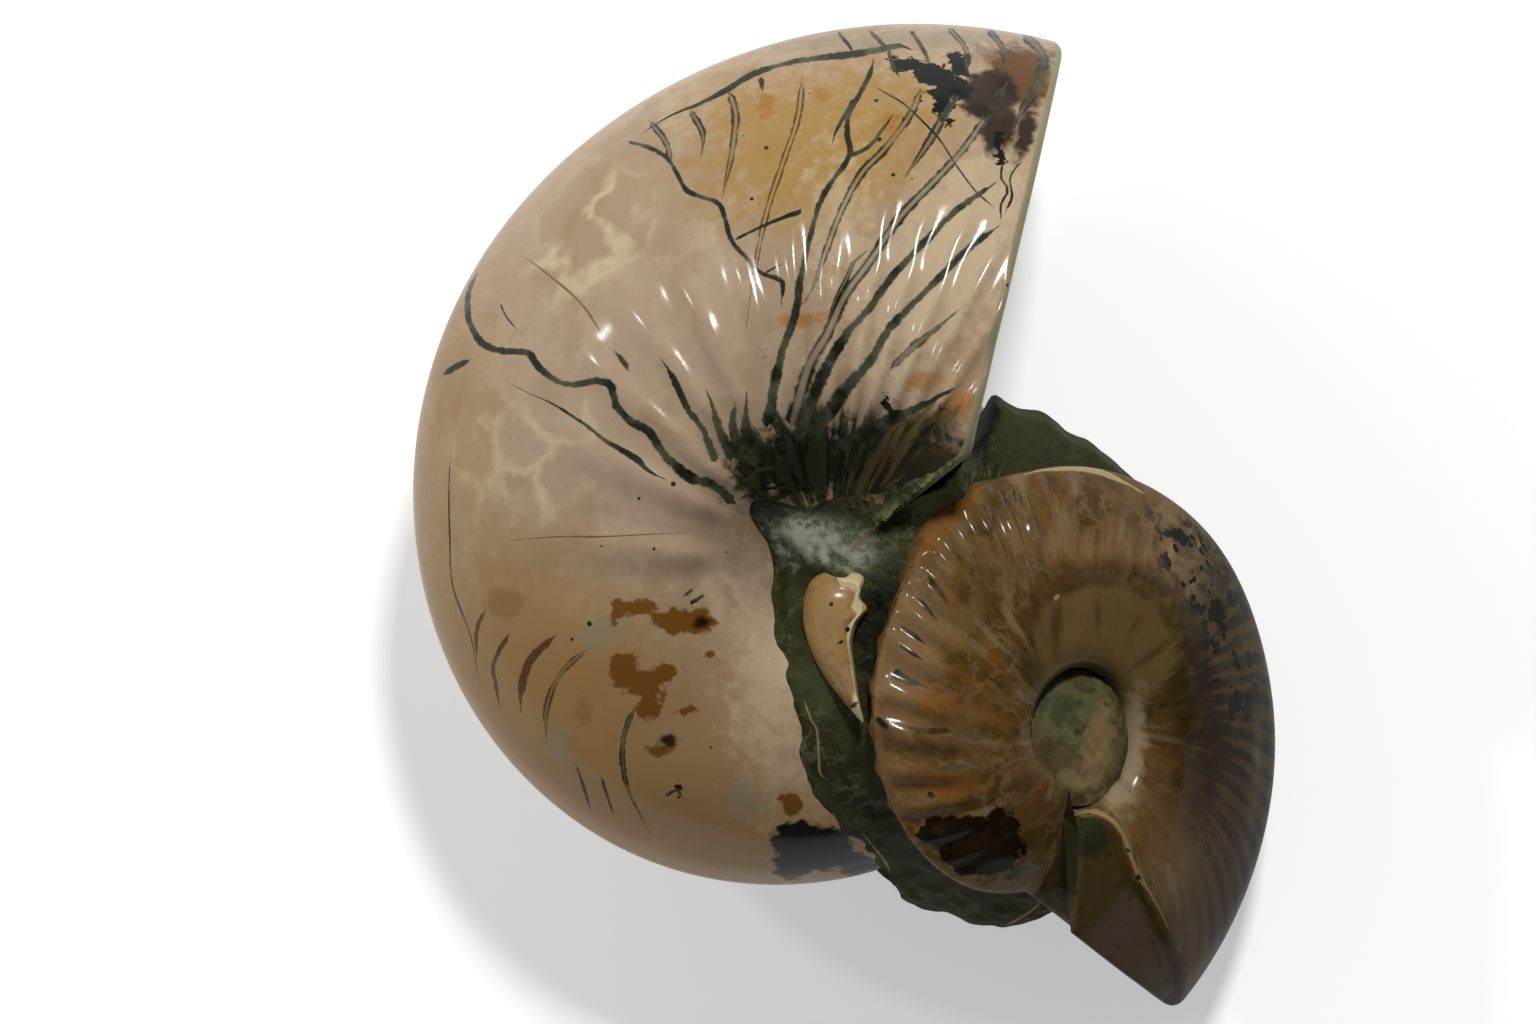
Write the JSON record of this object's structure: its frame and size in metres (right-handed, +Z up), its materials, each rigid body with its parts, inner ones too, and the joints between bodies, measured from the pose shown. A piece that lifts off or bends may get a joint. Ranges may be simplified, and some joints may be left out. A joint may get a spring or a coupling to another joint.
{
  "type": "fossil nautiloid with an ammonite in matrix",
  "caption": "Polished fossil nautiloid lying on its side, joined by dark sandstone matrix to a smaller ribbed ammonite and a scrap of shell.",
  "frame": {"origin": "middle of the surface that the fossil lies on, under the middle of its box", "axes": "+Z up, +Y along its length to the nautiloid's aperture, +X to the ammonite"},
  "size_m": [0.139, 0.1584, 0.0839],
  "materials": {
    "nautiloid_calcite": "polished fossil calcite, tan with dark rib lines, sutures and amber patches",
    "ammonite_calcite": "polished fossil calcite, brown with streaks along the ribs",
    "fragment_calcite": "polished fossil calcite, peach tan with dark flecks",
    "matrix_sandstone": "smoothed dark grey-green glauconitic sandstone with paler patches"
  },
  "bodies": {
    "root": {"nautiloid_shell": "nautiloid_calcite", "ammonite_shell": "ammonite_calcite", "shell_fragment": "fragment_calcite", "matrix_stone": "matrix_sandstone"}
  },
  "joints": []
}
